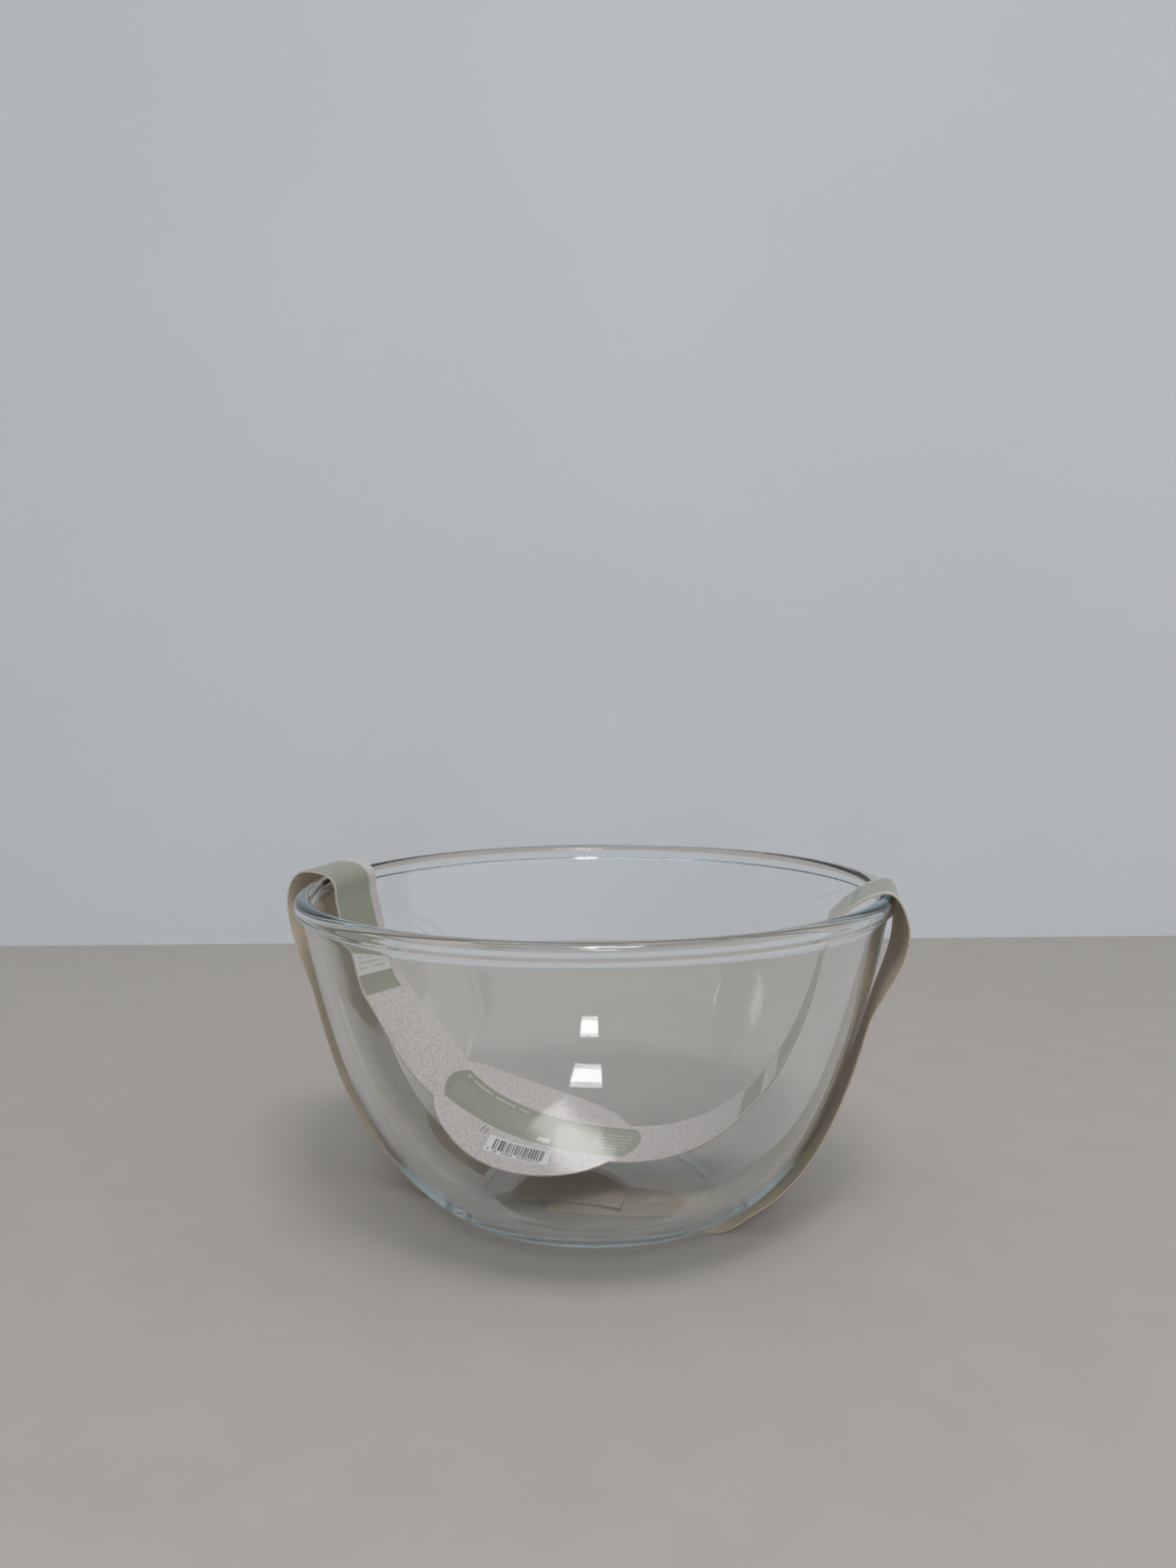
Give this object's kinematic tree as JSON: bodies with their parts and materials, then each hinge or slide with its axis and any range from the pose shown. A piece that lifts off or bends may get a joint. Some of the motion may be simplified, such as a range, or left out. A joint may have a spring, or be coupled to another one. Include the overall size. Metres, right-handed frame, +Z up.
{
  "type": "glass bowl",
  "caption": "Round clear glass mixing bowl with a rounded lip, in a loose printed card band that hangs across its inside, passes over the lip and laps under the base",
  "frame": {"origin": "on the table, on the bowl's axis, at the underside of the card that lies under the base", "axes": "+Z is up along the bowl's axis, -Y points at the camera, and the band runs about along X, 14 degrees clockwise of it seen from above"},
  "size_m": [0.2334, 0.22, 0.1245],
  "materials": {
    "clear_glass": "polished",
    "printed_card": "matte",
    "dried_glue": "satin",
    "white_label": "satin"
  },
  "bodies": {
    "bowl": {"glass_bowl": "clear_glass"},
    "band": {"paper_band": "printed_card", "lap_glue": "dried_glue", "barcode_label": "white_label"}
  },
  "joints": [
    {"name": "band_turn", "type": "hinge", "parent": "bowl", "child": "band", "pos_m": [0, 0, 0], "axis": [0, 0, 1], "continuous": true}
  ]
}
